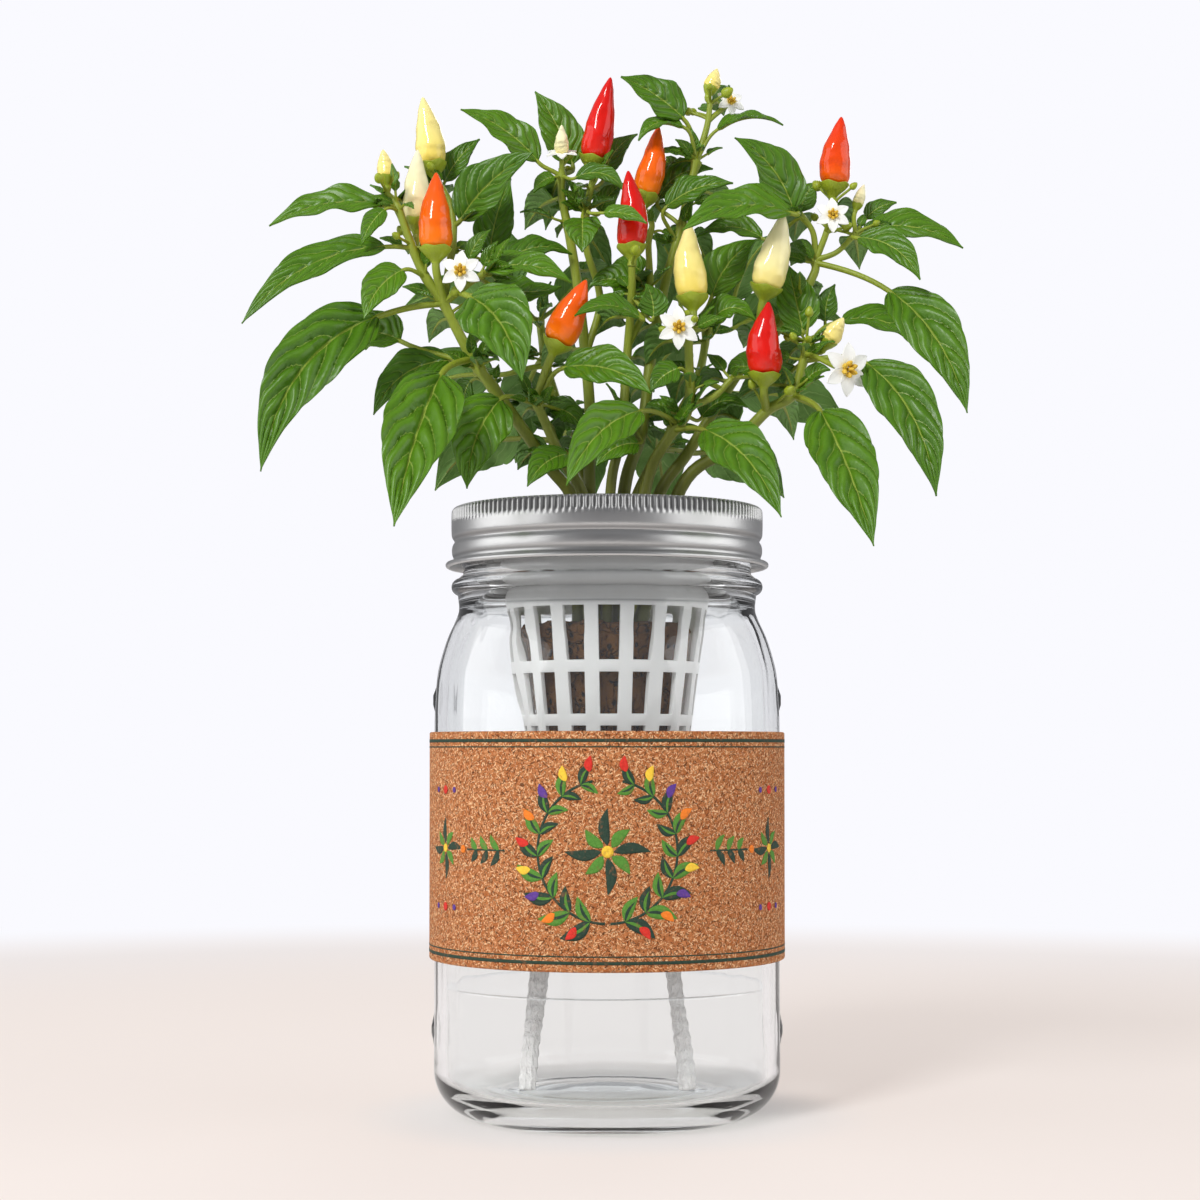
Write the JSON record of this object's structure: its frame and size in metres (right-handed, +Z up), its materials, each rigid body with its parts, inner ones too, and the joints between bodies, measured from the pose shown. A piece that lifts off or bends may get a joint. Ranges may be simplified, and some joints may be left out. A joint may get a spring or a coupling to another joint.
{
  "type": "hydroponic grow kit",
  "caption": "Clear jar of water with a screw band, a slatted net pot and plug in its mouth, cotton wicks, a cork wrap and a bushy pepper plant.",
  "frame": {"origin": "centre of the jar's foot, on the surface it stands on", "axes": "+Z up along the jar's axis, -Y to the front, +X to the right as seen from the front"},
  "size_m": [0.202, 0.113, 0.3009],
  "materials": {
    "glass": "gloss",
    "cork": "matte",
    "tin": "satin",
    "white_plastic": "satin",
    "coir": "matte",
    "cotton": "matte",
    "foliage": "satin",
    "petal": "matte",
    "pepper_red": "gloss",
    "pepper_orange": "gloss",
    "pepper_yellow": "gloss",
    "pepper_cream": "gloss"
  },
  "bodies": {
    "jar": {"glass_jar": "glass", "cork_label": "cork"},
    "insert": {"net_pot": "white_plastic", "grow_plug": "coir", "wick_left": "cotton", "wick_right": "cotton", "stem_left": "foliage", "stem_inner": "foliage", "stem_centre": "foliage", "stem_middle": "foliage", "stem_tall": "foliage", "stem_front": "foliage", "stem_right": "foliage", "stem_upper": "foliage", "stem_back_left": "foliage", "stem_back_right": "foliage", "pepper_red_1": "pepper_red", "pepper_red_2": "pepper_red", "pepper_red_3": "pepper_red", "pepper_red_4": "pepper_red", "pepper_orange_1": "pepper_orange", "pepper_orange_2": "pepper_orange", "pepper_orange_3": "pepper_orange", "pepper_yellow_1": "pepper_yellow", "pepper_yellow_2": "pepper_yellow", "pepper_yellow_3": "pepper_yellow", "pepper_yellow_4": "pepper_yellow", "pepper_yellow_5": "pepper_yellow", "pepper_yellow_6": "pepper_yellow", "pepper_cream_1": "pepper_cream", "pepper_cream_2": "pepper_cream", "flower_1": "petal", "flower_2": "petal", "flower_3": "petal", "flower_4": "petal", "flower_5": "petal", "flower_6": "petal"},
    "band": {"screw_band": "tin"}
  },
  "joints": [
    {"name": "pot_lift", "type": "slide", "parent": "jar", "child": "insert", "axis": [0, 0, 1], "range_m": [0, 0.17]},
    {"name": "band_turn", "type": "hinge", "parent": "insert", "child": "band", "pos_m": [0, 0, 0.1633], "axis": [0, 0, 1], "range_deg": [0, 400]}
  ]
}
